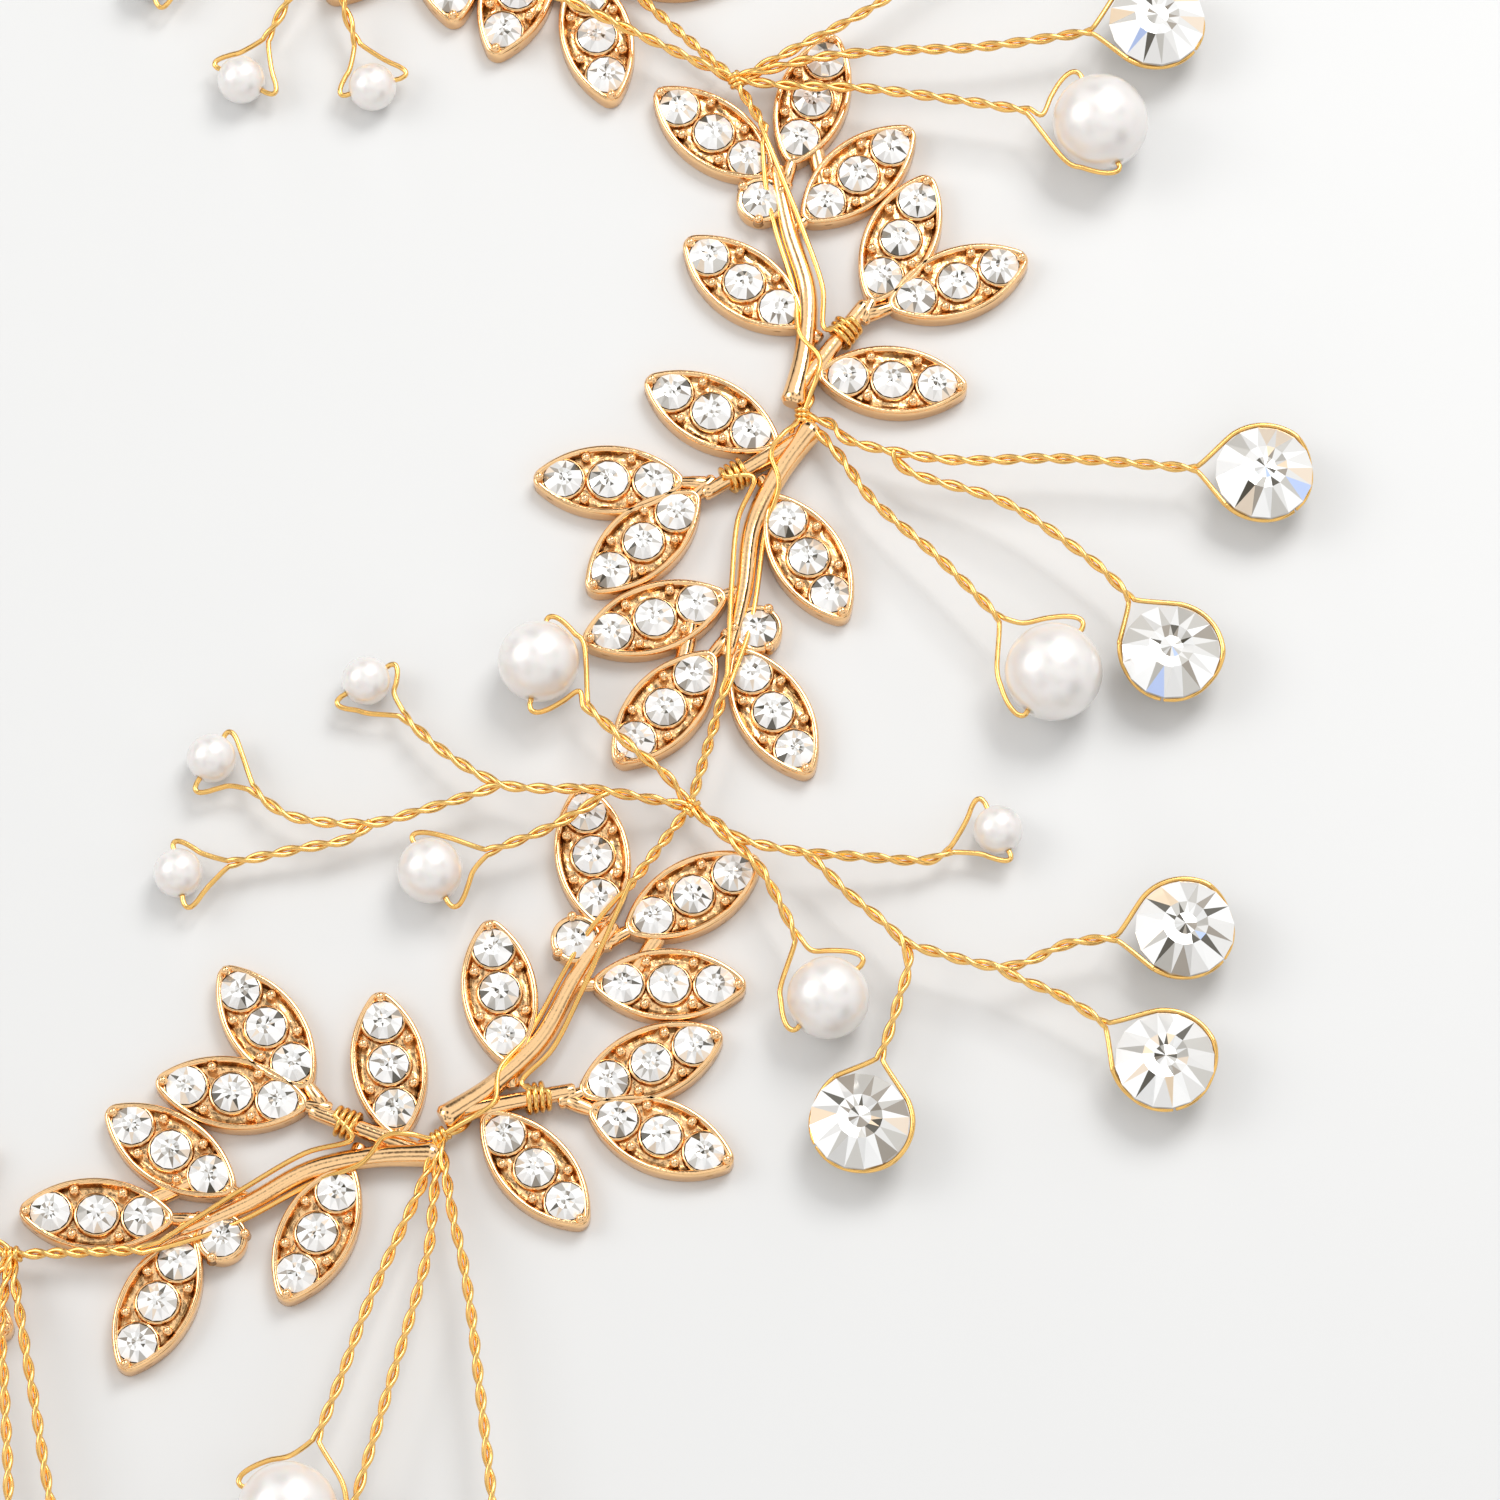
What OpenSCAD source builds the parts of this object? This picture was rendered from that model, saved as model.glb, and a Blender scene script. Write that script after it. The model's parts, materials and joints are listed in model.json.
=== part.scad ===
// Bridal tiara: a soft hair vine of eight gold-plated leaf sprays set with rhinestones.
// The sprays are wired together stem to stem and tip to tip, and every junction
// carries a sprig of twisted wire with loose-threaded pearls and ringed crystals.
// It lies flat, bent to a C, with the open side towards +Y and its underside at Z = 0.

/* [Vine] */
// Radius of the circle that the junctions lie near
vine_r = 54; // [53.8:0.1:56]
// Angle between neighbouring junctions about the centre of that circle
junction_step = 27.5; // [27.4:0.1:28.4]
// Height of a junction between two stem ends
stem_junction_z = 1; // [0.9:0.05:1.2]
// Height of a junction between two leaf tips
tip_junction_z = 1.5; // [1.3:0.05:1.7]

/* [Casting] */
// Length of one leaf, point to point
leaf_l = 9.9; // [9.6:0.1:10]
// Width of one leaf
leaf_w = 4.6; // [4.4:0.1:4.7]
// Height of a leaf from its flat back to its rim
leaf_h = 1.3; // [1.2:0.05:1.4]
// Width of the raised rim round a leaf
leaf_rim = 0.5; // [0.4:0.05:0.6]
// Depth of the sunk floor below the rim
floor_depth = 0.25; // [0.15:0.05:0.3]
// Diameter of the stem
stem_d = 1.24; // [1.1:0.02:1.3]
// Diameter of the thick end of the stem
stem_end_d = 1.6; // [1.5:0.05:1.7]
// Diameter of the side branch
branch_d = 1.2; // [1.1:0.05:1.25]
// Outer diameter of the round cup
cup_d = 3.1; // [3:0.05:3.2]

/* [Stones] */
// Diameter of a rhinestone
stone_d = 2.4; // [2.3:0.02:2.42]
// Distance between neighbouring rhinestones in a leaf
stone_pitch = 2.8; // [2.7:0.05:2.85]
// Clearance between a rhinestone and its seat, all round
seat_gap = 0.03; // [0.02:0.005:0.04]
// Diameter of a crystal
crystal_d = 6; // [5.6:0.1:6.2]

/* [Pearls] */
// Diameter of the smallest pearls
pearl_small = 3; // [2.8:0.1:3.2]
// Diameter of the medium pearl
pearl_medium = 4; // [3.8:0.1:4.2]
// Diameter of the big pearls
pearl_big = 5; // [4.8:0.1:5.2]
// Diameter of the largest pearls
pearl_large = 6; // [5.8:0.1:6.2]
// Clearance between a pearl's bore and its wire, all round
bore_gap = 0.05; // [0.04:0.005:0.06]

/* [Wire] */
// Diameter of a single strand
strand_d = 0.34; // [0.3:0.01:0.34]
// Diameter over two strands twisted together
twist_d = 0.7; // [0.62:0.01:0.72]
// Turns of the binding wire round a side branch
binding_turns = 3; // [2:1:3]
// Diameter of the knot at a junction
knot_d = 1; // [0.8:0.05:1.1]
// Inner diameter of the eye at a free end
eye_d = 6; // [5.8:0.1:6.6]

/* [Hidden] */
$fn = 48;
JUNCTIONS = 7;
SPRAYS = 8;
// Centre of the vine's circle, which puts the origin under the middle of the whole vine
centre = [1.75, 29.33];

gap = 0.05;             // between pieces of wire that meet end to end
joint_gap = 0.15;       // between a knot and the wires that swing about it
link_gap = 0.4;         // between a knot and a link, where the twigs start
ring_gap = 0.02;        // between a crystal and the ring round it
tip_gap = 0.1;          // between a crystal's ring and the end of its twig
coil_gap = 0.04;        // between the side branch and the coil round it
rod_z = 1;              // height of the axes of the stem and the side branch
bridge_d = 1.1;         // the short bar that joins two leaves beside the stem
bridge_z = 0.65;        // height of that bar's axis, which keeps it below the rims
wire_sides = 6;
twist_sides = 8;
coil_steps = 10;        // rings to a turn of the coil
bend_steps = 3;         // rings between neighbouring points of a route

// The vine is bent by hand, so each junction sits a little off the even circle:
// [outwards, degrees on]
JUNCTION_AT = [
  [0.5, 1.2], [0.8, -1.9], [-0.4, 1.3], [-1.2, -0.3], [1.4, 0], [-0.7, -0.6], [0.5, 0]
];

// How each spray leaves its stem junction: [junction, direction (1 is counterclockwise),
// start outwards, start along, turn]
SPRAY_AT = [
  [0, 1, -0.6, 0.95, 8], [0, -1, 0.65, -1.1, -23],
  [2, 1, -0.55, 0.95, 2], [2, -1, 0.55, -0.95, -20.7],
  [4, 1, -0.77, 0.91, 15.3], [4, -1, 0.77, -0.91, -17.6],
  [6, 1, -0.6, 0.95, 14], [6, -1, 0.6, -0.95, -15]
];

// The casting lies along +X from its stem end. Each leaf is [x, y of its middle, direction]
LEAVES = [
  [1, -6.2, -99], [7.38, -10.68, -72], [10.5, -7.3, -26.6], [8.1, 2.6, 48],
  [15, -4.95, -51], [20.3, -2.4, -20.4], [18.35, 3.9, 48]
];
CUP = [13.6, 1.2];
STEM = [[0, 0], [3.25, -0.9], [7.3, -1.3], [11.5, -0.4], [15.7, 0.1]];
BRANCH = [[1.5, -1], [6.2, -4.8]];
BRIDGE = [[14.2, -2.8], [17, -2.4]];

// Wire beside and over a casting, in the casting's own frame
LOW_ROUTE = [[0.15, -1.2, 0.8], [0.8, -1.1, 0.4], [1.6, -0.95, 0.19], [2.9, -1.8, 0.19]];
HIGH_ROUTE = [[4.6, -1.4, 1.9], [7.3, -1.25, 1.9], [11.5, -0.4, 1.9], [15.2, 0.1, 1.9]];
FORK = [18.3, 0.75, 1.85];     // where the tip link starts, over the fork of the last two leaves
SWIVEL = [23, 2, 1.2];         // where an end loop hangs on the first or last spray
EYE = [31.8, 4.2, 0.5];        // middle of an end loop's eye

// A pearl's loop on each side of the pearl, from the twig round into the bore: [beyond the
// pearl's surface along the bore, back towards the twig]
LOOP_SIDE = [[0.85, 0.4], [0.6, 0.06], [0.25, 0]];

// Twigs, in a junction's own frame: +X outwards, +Y counterclockwise, Z up. Each is
// [ends in, size, middle of that pearl or crystal, turn of the bore, route of the wire],
// and the wire runs on from the end of its route to that pearl or crystal
CRYSTAL = "crystal";
PEARL = "pearl";
STEM_FAN = [
  [CRYSTAL, crystal_d, [28.2, -5.2], 0,
   [[0.75, 0, 1.1], [1.8, -0.9, 1.6], [3.2, -2.4, 2.2], [9.1, -3.9, 2.8], [15.8, -4, 2.9]]],
  [CRYSTAL, crystal_d, [22, -16.8], 0,
   [[6.7, -4.6, 2.4], [12.2, -6.8, 2.9], [17, -10.4, 2.9], [19.2, -12.6, 2.8]]],
  [PEARL, pearl_large, [14.8, -18], 15,
   [[2.2, -3.1, 1.9], [4.2, -6.4, 2.5], [8, -10.3, 2.9]]]
];
STEM_FAN_WIDE = [
  [CRYSTAL, crystal_d, [29.4, -14.9], 0,
   [[0.75, -0.1, 1.1], [2.5, -1.2, 1.9], [5, -2.4, 2.4], [8.8, -4, 2.7], [15.1, -7.3, 2.9],
    [22, -11, 2.9]]],
  [CRYSTAL, crystal_d, [21.4, -23.2], 0,
   [[3.6, -2.9, 2.2], [6.4, -5.3, 2.6], [12.4, -12.4, 2.9], [16.2, -17, 2.9]]],
  [PEARL, pearl_large, [14.5, -20.6], -10,
   [[2.2, -2.8, 1.9], [3.6, -4.9, 2.4], [6.6, -9.5, 2.9], [9.4, -13.3, 3]]]
];
CENTRE_TREE = [
  [PEARL, pearl_small, [17.2, 7.4], 0,
   [[0.65, -0.05, 1.6], [2.2, -0.4, 2.2], [4.1, -0.7, 2.6], [7.7, 0.2, 2.9], [11, 1.8, 2.4],
    [14.2, 3.5, 1.7]]],
  [CRYSTAL, crystal_d, [18.5, -13.3], 0,
   [[9.3, -0.2, 2.9], [11, -0.8, 2.9], [15.9, -2.3, 2.9], [17.1, -5.6, 2.9]]],
  [CRYSTAL, crystal_d, [30.2, 6.6], 0,
   [[16.9, -1.9, 2.9], [21.8, -0.6, 2.9], [24.4, 2.4, 2.9]]],
  [CRYSTAL, crystal_d, [32.9, -1.4], 0,
   [[22.9, -0.9, 2.9], [25.7, -0.7, 2.9]]],
  [PEARL, pearl_big, [13.2, -7.2], 20,
   [[5.1, -1.6, 2.7], [7.2, -2.8, 2.7]]],
  [PEARL, pearl_big, [-12.4, 3.7], 35,
   [[-0.75, 0.5, 1.6], [-2, 0.8, 2.4], [-4.5, 1.3, 2.8], [-6.6, 1.9, 2.7]]],
  [PEARL, pearl_small, [-21.3, -2], -10,
   [[-0.75, -0.5, 1.6], [-2.5, -1.1, 2.5], [-5.5, -2.2, 2.9], [-8.5, -3.7, 2.9],
    [-11, -4.4, 2.5], [-14.8, -4, 2]]],
  [PEARL, pearl_small, [-27.2, -10.8], 10,
   [[-11.7, -5.5, 2.3], [-14, -7.9, 2.3], [-16.7, -10.3, 2.2], [-21, -11.9, 1.8]]],
  [PEARL, pearl_small, [-25.4, -18.2], 0,
   [[-17.3, -11.7, 2], [-19.6, -13.5, 1.8]]],
  [PEARL, pearl_medium, [-11.9, -11.1], 10,
   [[-5.4, -3.5, 2.8], [-6.9, -5.8, 2.7]]]
];
TIP_FAN = [
  [CRYSTAL, crystal_d, [26, 3.2], 0,
   [[0.65, 0.05, 1.6], [3.6, -0.1, 2.5], [9.4, 0.2, 2.9], [16, 1.5, 2.9]]],
  [CRYSTAL, crystal_d, [25.3, -8.3], 0,
   [[4.6, -1.2, 2.7], [9, -2.8, 2.9], [14.7, -5.2, 2.9]]],
  [PEARL, pearl_large, [19, -13], 30,
   [[0.8, -1, 1.6], [3, -2.3, 2.4], [6.5, -4.4, 2.9], [11, -7.4, 3]]]
];
TIP_FAN_NARROW = [
  [CRYSTAL, crystal_d, [26.4, 4.2], 0,
   [[0.65, 0.05, 1.6], [3.6, 0.2, 2.5], [9.4, 0.6, 2.9], [17.1, 1.2, 2.9]]],
  [CRYSTAL, crystal_d, [26.8, -4.2], 0,
   [[4.2, -0.9, 2.7], [9, -1.1, 2.9], [16.7, -1.6, 2.9]]],
  [PEARL, pearl_large, [24, -11], 15,
   [[0.8, -1, 1.6], [3, -2, 2.4], [6.5, -2.6, 2.9], [14, -3.7, 3]]]
];
INNER_TREE = [
  [PEARL, pearl_small, [-20.7, 9.4], 0,
   [[-0.8, 0.1, 1.6], [-3, 3.2, 2.7], [-8, 9.5, 3.2], [-13, 15.5, 3.2], [-16.5, 18.3, 3],
    [-19, 17.6, 2.8], [-20, 15.2, 2.3]]],
  [PEARL, pearl_small, [-27.9, 13.4], 0,
   [[-17.6, 19.4, 3], [-20.5, 18.8, 2.6], [-23, 16.9, 2.1]]],
  [PEARL, pearl_small, [-30.2, 22.4], 0,
   [[-21.5, 20, 2.5], [-24.3, 21.4, 1.9]]]
];
// The inner tree of the other tip junction, turned over to lie the other way
INNER_TREE_TURNED = [
  for (t = INNER_TREE) [t[0], t[1], across(t[2]), t[3], [for (p = t[4]) across(p)]]
];
SPRIGS = [
  STEM_FAN, concat(TIP_FAN, INNER_TREE), STEM_FAN, CENTRE_TREE, STEM_FAN_WIDE,
  concat(TIP_FAN_NARROW, INNER_TREE_TURNED), STEM_FAN_WIDE
];

// Places

function across(p) = [for (i = [0:len(p) - 1]) i == 1 ? -p[i] : p[i]];
function turned(p, angle) =
  [p[0] * cos(angle) - p[1] * sin(angle), p[0] * sin(angle) + p[1] * cos(angle)];
function at_height(p, z) = [p[0], p[1], z];
function unit(v) = v / norm(v);

// Junctions run clockwise from the right-hand end of the C, with the middle one at -Y
function junction_angle(k) =
  -90 + ((JUNCTIONS - 1) / 2 - k) * junction_step + JUNCTION_AT[k][1];
function junction_xy(k) =
  centre + turned([vine_r + JUNCTION_AT[k][0], 0], junction_angle(k));
function junction(k) = at_height(junction_xy(k), k % 2 == 0 ? stem_junction_z : tip_junction_z);
function from_junction(k, p) =
  at_height(junction_xy(k) + turned(p, junction_angle(k)), p[2]);

function spray_angle(s) =
  junction_angle(SPRAY_AT[s][0]) + 90 * SPRAY_AT[s][1] + SPRAY_AT[s][4];
function spray_xy(s) = let (k = SPRAY_AT[s][0])
  junction_xy(k) + turned([SPRAY_AT[s][2], SPRAY_AT[s][3]], junction_angle(k));
function on_spray(s, p) = at_height(spray_xy(s) + turned(p, spray_angle(s)), p[2]);
// The junction at a spray's tip, which the first and last sprays don't have
function tip_junction(s) = SPRAY_AT[s][0] - SPRAY_AT[s][1];
function is_end(s) = s == 0 || s == SPRAYS - 1;

function pearls(k) = [for (t = SPRIGS[k]) if (t[0] == PEARL) t];
function middle_z(t) = t[0] == PEARL ? t[1] / 2 : crystal_z;
function middle(t) = at_height(t[2], middle_z(t));
// Where a twig's twisted wire ends: a loop's reach from a pearl, or at a crystal's ring
function twig_tip(t) =
  let (last = t[4][len(t[4]) - 1],
       reach = t[0] == PEARL ? t[1] / 2 + loop_reach : ring_r + strand_r + tip_gap)
    middle(t) + reach * unit([last[0] - t[2][0], last[1] - t[2][1], 0]);

// Sizes that follow from the driving ones

floor_l = leaf_l - 2.6 * leaf_rim;      // the rim is wider at the two points
floor_w = leaf_w - 2 * leaf_rim;
seat_z = 0.2;
culet_z = seat_z + 0.08;
stone_girdle_z = 1.15;
stone_girdle = 0.1;
stone_table_z = leaf_h + 0.3;
stone_table = 0.62;     // of the stone's diameter
crystal_pavilion = 0.43 * crystal_d;
crystal_girdle = 0.24;
crystal_crown = 0.17 * crystal_d;
crystal_table = 0.6;    // of the crystal's diameter
crystal_lift = 0.05;    // from the surface that the vine lies on to a crystal's culet
crystal_z = crystal_lift + crystal_pavilion + crystal_girdle / 2;
strand_r = strand_d / 2;
ring_r = crystal_d / 2 + strand_r + ring_gap;
loop_reach = 1.6;       // from a pearl's surface to the end of its twig
loop_round = 0.8;       // from a pearl's surface to the bend of its loop
split_side = 0.22;      // from a twig's axis to a strand that leaves its end
split_on = 0.3;         // from a twig's end to the start of that strand
coil_r = branch_d / 2 + strand_r + coil_gap;
coil_start = 3.15;      // from the start of the side branch
coil_pitch = strand_d + 0.06;
stem_lap = 0.35;        // how far one straight length of the stem runs into the next
stem_taper = 0.06;      // from one length of the stem to the next
stem_narrowing = 0.6;   // share of that taper within a length
stalk_d = 0.95;
stalk_out = 0.7;        // beyond the leaf's foot
stalk_in = 1.2;         // inside the leaf
neck_l = 2.5;           // how far an end loop's neck runs on before it dips to the eye

// Wire

// Catmull-Rom curve through the points of a route
function smooth(route) = [
  for (i = [0:len(route) - 2], j = [0:bend_steps - 1])
    let (a = route[max(i - 1, 0)], b = route[i], c = route[i + 1],
         d = route[min(i + 2, len(route) - 1)], u = j / bend_steps)
      b + 0.5 * u * (c - a) + u * u * (a - 2.5 * b + 2 * c - 0.5 * d)
        + u * u * u * (1.5 * (b - c) + 0.5 * (d - a)),
  route[len(route) - 1]
];

function heading(route, i) =
  unit(route[min(i + 1, len(route) - 1)] - route[max(i - 1, 0)]);
function square_to(v, along) = unit(v - (v * along) * along);

// One strand or twisted pair swept along a route, its rings carried on without twist
module wire(route, d, sides) {
  last = len(route) - 1;
  first_heading = heading(route, 0);
  first_side = abs(first_heading[2]) < 0.9 ? [0, 0, 1] : [1, 0, 0];
  sides_at = [
    for (i = 0, n = square_to(first_side, first_heading); i <= last;
         i = i + 1, n = i <= last ? square_to(n, heading(route, i)) : n) n
  ];
  rings = [
    for (i = [0:last])
      let (up = sides_at[i], side = cross(heading(route, i), up))
        for (j = [0:sides - 1])
          route[i] + d / 2 * (cos(360 * j / sides) * up + sin(360 * j / sides) * side)
  ];
  walls = [
    for (i = [0:last - 1], j = [0:sides - 1])
      let (k = (j + 1) % sides)
        each [
          [i * sides + j, (i + 1) * sides + k, i * sides + k],
          [i * sides + j, (i + 1) * sides + j, (i + 1) * sides + k]
        ]
  ];
  start_cap = [for (j = [0:sides - 1]) j];
  end_cap = [for (j = [sides - 1:-1:0]) last * sides + j];
  polyhedron(rings, concat(walls, [start_cap, end_cap]));
}

// Casting

module on_spray_frame(s) {
  translate(at_height(spray_xy(s), 0)) rotate(spray_angle(s)) children();
}

module on_leaf(leaf) {
  translate([leaf[0], leaf[1], 0]) rotate(leaf[2]) children();
}

// A leaf's outline, where two circles overlap
module pointed_leaf(l, w, h) {
  arc_r = (l * l + w * w) / (4 * w);
  intersection() {
    translate([0, arc_r - w / 2, 0]) cylinder(r = arc_r, h = h, $fn = 200);
    translate([0, w / 2 - arc_r, 0]) cylinder(r = arc_r, h = h, $fn = 200);
  }
}

module rod(a, b, d1, d2, z = rod_z) {
  run = b - a;
  translate([a[0], a[1], z]) rotate(atan2(run[1], run[0])) rotate([0, 90, 0])
    cylinder(d1 = d1, d2 = d2, h = norm(run));
}

// The stem tapers, each length entering the thicker one before it
module stem() {
  for (i = [0:len(STEM) - 2])
    let (run = unit(STEM[i + 1] - STEM[i]))
      rod(STEM[i] - (i > 0 ? stem_lap : 0) * run, STEM[i + 1] + stem_lap * run,
          i == 0 ? stem_end_d : stem_d - i * stem_taper,
          i == 0 ? stem_d : stem_d - (i + stem_narrowing) * stem_taper);
}

// A leaf's stalk, from the stem into the leaf's pointed foot
module stalk() {
  rod([-leaf_l / 2 - stalk_out, 0], [-leaf_l / 2 + stalk_in, 0], stalk_d, stalk_d);
}

module seats() {
  seat_r = stone_d / 2 + seat_gap;
  for (leaf = LEAVES, n = [-1:1])
    on_leaf(leaf) translate([n * stone_pitch, 0, seat_z]) cylinder(r = seat_r, h = leaf_h);
  translate([CUP[0], CUP[1], seat_z]) cylinder(r = seat_r, h = leaf_h);
}

module spray(s) {
  color("goldenrod") on_spray_frame(s) difference() {
    union() {
      for (leaf = LEAVES) on_leaf(leaf) {
        pointed_leaf(leaf_l, leaf_w, leaf_h);
        stalk();
      }
      translate([CUP[0], CUP[1], 0]) cylinder(d = cup_d, h = leaf_h);
      stem();
      rod(BRANCH[0], BRANCH[1], branch_d, branch_d);
      rod(BRIDGE[0], BRIDGE[1], bridge_d, bridge_d, bridge_z);
    }
    for (leaf = LEAVES)
      on_leaf(leaf) translate([0, 0, leaf_h - floor_depth])
        pointed_leaf(floor_l, floor_w, leaf_h);
    seats();
  }
}

module stone() {
  r = stone_d / 2;
  rotate_extrude()
    polygon([[0, culet_z], [r, stone_girdle_z], [r, stone_girdle_z + stone_girdle],
             [stone_table * r, stone_table_z], [0, stone_table_z]]);
}

module rhinestones(s) {
  color("white") on_spray_frame(s) {
    for (leaf = LEAVES, n = [-1:1]) on_leaf(leaf) translate([n * stone_pitch, 0, 0]) stone();
    translate([CUP[0], CUP[1], 0]) stone();
  }
}

// Binding wire: from the stem junction, beside the stem end, round the side branch,
// up over the stem and along it to the fork
function coil_points() =
  let (along = unit(BRANCH[1] - BRANCH[0]), turns = binding_turns + 0.5)
    [for (i = [0:turns * coil_steps])
      let (turn = i / coil_steps, p = BRANCH[0] + (coil_start + coil_pitch * turn) * along,
           a = -90 - 360 * turn, sideways = coil_r * cos(a))
        [p[0] - along[1] * sideways, p[1] + along[0] * sideways, rod_z + coil_r * sin(a)]];

function binding_route(s) =
  let (coil = coil_points(), fork_end = FORK - [3 * gap, 0, 0])
    [for (p = concat(smooth(concat(LOW_ROUTE, [coil[0]])),
                     [for (i = [1:len(coil) - 1]) coil[i]],
                     smooth(concat(HIGH_ROUTE, [fork_end]))))
      on_spray(s, p)];

function link_end(s) = is_end(s) ? on_spray(s, SWIVEL) : junction(tip_junction(s));

module binding_wire(s) {
  start = on_spray(s, FORK);
  stop = link_end(s);
  reach = is_end(s) ? joint_gap : knot_d / 2 + link_gap;
  color("gold") {
    wire(binding_route(s), strand_d, wire_sides);
    wire([start, stop - reach * unit(stop - start)], twist_d, twist_sides);
  }
}

// Sprigs

// One side of a pearl's loop: from the tip of the twisted wire round into the bore
function loop_side(tip, middle, r, bore) =
  let (back = unit(tip - middle), inward = square_to(back, bore),
       level = cross([0, 0, 1], back), beside = level * bore > 0 ? level : -level)
    smooth([tip + split_side * beside - split_on * back,
            middle + (r + loop_round) * unit(bore + back),
            for (p = LOOP_SIDE) middle + (r + p[0]) * bore + p[1] * inward]);

function reversed(list) = [for (i = [len(list) - 1:-1:0]) list[i]];

module pearl_loop(tip, middle, r, turn) {
  back = unit(tip - middle);
  bore = at_height(turned(back, 90 + turn), 0);
  wire(concat(loop_side(tip, middle, r, bore),
              reversed(loop_side(tip, middle, r, -bore))),
       strand_d, wire_sides);
}

module crystal_ring(middle) {
  translate(middle) rotate_extrude() translate([ring_r, 0]) circle(d = strand_d);
}

module sprig_wire(k) {
  color("gold") {
    translate(junction(k)) sphere(d = knot_d);
    for (t = SPRIGS[k]) {
      tip = from_junction(k, twig_tip(t));
      end = from_junction(k, middle(t));
      wire(smooth([for (p = t[4]) from_junction(k, p), tip]), twist_d, twist_sides);
      if (t[0] == PEARL) pearl_loop(tip, end, t[1] / 2, t[3]);
      else crystal_ring(end);
    }
  }
}

module crystal() {
  r = crystal_d / 2;
  low = -crystal_girdle / 2;
  rotate_extrude()
    polygon([[0, low - crystal_pavilion], [r, low], [r, -low],
             [crystal_table * r, crystal_crown - low], [0, crystal_crown - low]]);
}

module crystals(k) {
  color("white")
    for (t = SPRIGS[k]) if (t[0] == CRYSTAL)
      translate(from_junction(k, middle(t))) crystal();
}

module pearl(k, n) {
  t = pearls(k)[n];
  r = t[1] / 2;
  back = twig_tip(t) - middle(t);
  bore_angle = junction_angle(k) + atan2(back[1], back[0]) + 90 + t[3];
  color("ivory")
    translate(from_junction(k, middle(t))) rotate(bore_angle) rotate([0, 90, 0])
      difference() {
        sphere(r = r);
        cylinder(r = strand_r + bore_gap, h = 3 * r, center = true);
      }
}

module end_loop(s) {
  eye_r = (eye_d + twist_d) / 2;
  swivel = on_spray(s, SWIVEL);
  eye = on_spray(s, EYE);
  level = at_height(swivel, eye[2]);
  along = unit(eye - level);
  color("gold") {
    wire(smooth([swivel + joint_gap * along, 0.5 * (swivel + level) + neck_l * along,
                 eye - (eye_r + twist_d / 2 + gap) * along]),
         twist_d, twist_sides);
    translate(eye) rotate_extrude() translate([eye_r, 0]) circle(d = twist_d);
  }
}

for (s = [1:SPRAYS]) {
  spray(s - 1);
  rhinestones(s - 1);
  binding_wire(s - 1);
}
for (k = [1:JUNCTIONS]) {
  sprig_wire(k - 1);
  crystals(k - 1);
  for (n = [1:len(pearls(k - 1))])
    pearl(k - 1, n - 1);
}
end_loop(0);  // end_loop_1
end_loop(SPRAYS - 1);  // end_loop_8
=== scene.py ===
import json
import math
import random

import bpy
import numpy as np
from mathutils import Matrix, Vector


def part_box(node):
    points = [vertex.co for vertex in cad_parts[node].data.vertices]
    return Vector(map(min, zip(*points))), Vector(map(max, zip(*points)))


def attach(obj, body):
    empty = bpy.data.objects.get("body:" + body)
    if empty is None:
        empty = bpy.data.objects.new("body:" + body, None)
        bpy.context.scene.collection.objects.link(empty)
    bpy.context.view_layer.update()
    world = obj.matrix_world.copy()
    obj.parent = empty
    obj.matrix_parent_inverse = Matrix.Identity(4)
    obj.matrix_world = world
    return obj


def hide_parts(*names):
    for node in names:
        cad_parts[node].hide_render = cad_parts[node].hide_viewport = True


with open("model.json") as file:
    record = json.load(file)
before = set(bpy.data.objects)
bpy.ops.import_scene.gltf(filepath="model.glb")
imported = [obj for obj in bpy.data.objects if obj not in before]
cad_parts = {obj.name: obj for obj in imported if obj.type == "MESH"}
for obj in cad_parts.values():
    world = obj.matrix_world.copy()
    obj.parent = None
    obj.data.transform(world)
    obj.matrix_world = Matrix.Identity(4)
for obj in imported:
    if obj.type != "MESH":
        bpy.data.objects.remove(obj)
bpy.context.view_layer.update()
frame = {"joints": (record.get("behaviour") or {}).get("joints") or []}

# Camera, light and table ------------------------------------------------------
# The vine lies on a plain white table under two softboxes and pale studio walls.
# A long lens looks steeply down at it from the front left, close enough that a
# little less than half of the vine fills the view.

AZIMUTH = math.radians(-62.5)
ELEVATION = math.radians(70)
LENS = 200
SENSOR = 36
SEEN_WIDTH = 0.0912
AIM = Vector((0.0064, -0.0250, 0.0015))

scene = bpy.context.scene
scene.view_settings.view_transform = "Standard"

into_view = Vector((
    -math.sin(AZIMUTH) * math.cos(ELEVATION),
    math.cos(AZIMUTH) * math.cos(ELEVATION),
    -math.sin(ELEVATION),
))
camera_data = bpy.data.cameras.new("camera")
camera_data.lens = LENS
camera_data.sensor_width = SENSOR
camera = bpy.data.objects.new("camera", camera_data)
camera.location = AIM - into_view * SEEN_WIDTH * LENS / SENSOR
camera.rotation_euler = into_view.to_track_quat("-Z", "Y").to_euler()
scene.collection.objects.link(camera)
scene.camera = camera

view_right = Vector((math.cos(AZIMUTH), math.sin(AZIMUTH), 0))
view_up = Vector((-math.sin(AZIMUTH), math.cos(AZIMUTH), 0))


def softbox(name, right, up, height, size, power):
    """A square light facing the middle of the vine, placed as the camera sees it, in metres."""
    light = bpy.data.lights.new(name, "AREA")
    light.size = size
    light.energy = power
    lamp = bpy.data.objects.new(name, light)
    lamp.location = view_right * right + view_up * up + Vector((0, 0, height))
    lamp.rotation_euler = (-lamp.location).to_track_quat("-Z", "Y").to_euler()
    scene.collection.objects.link(lamp)


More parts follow.
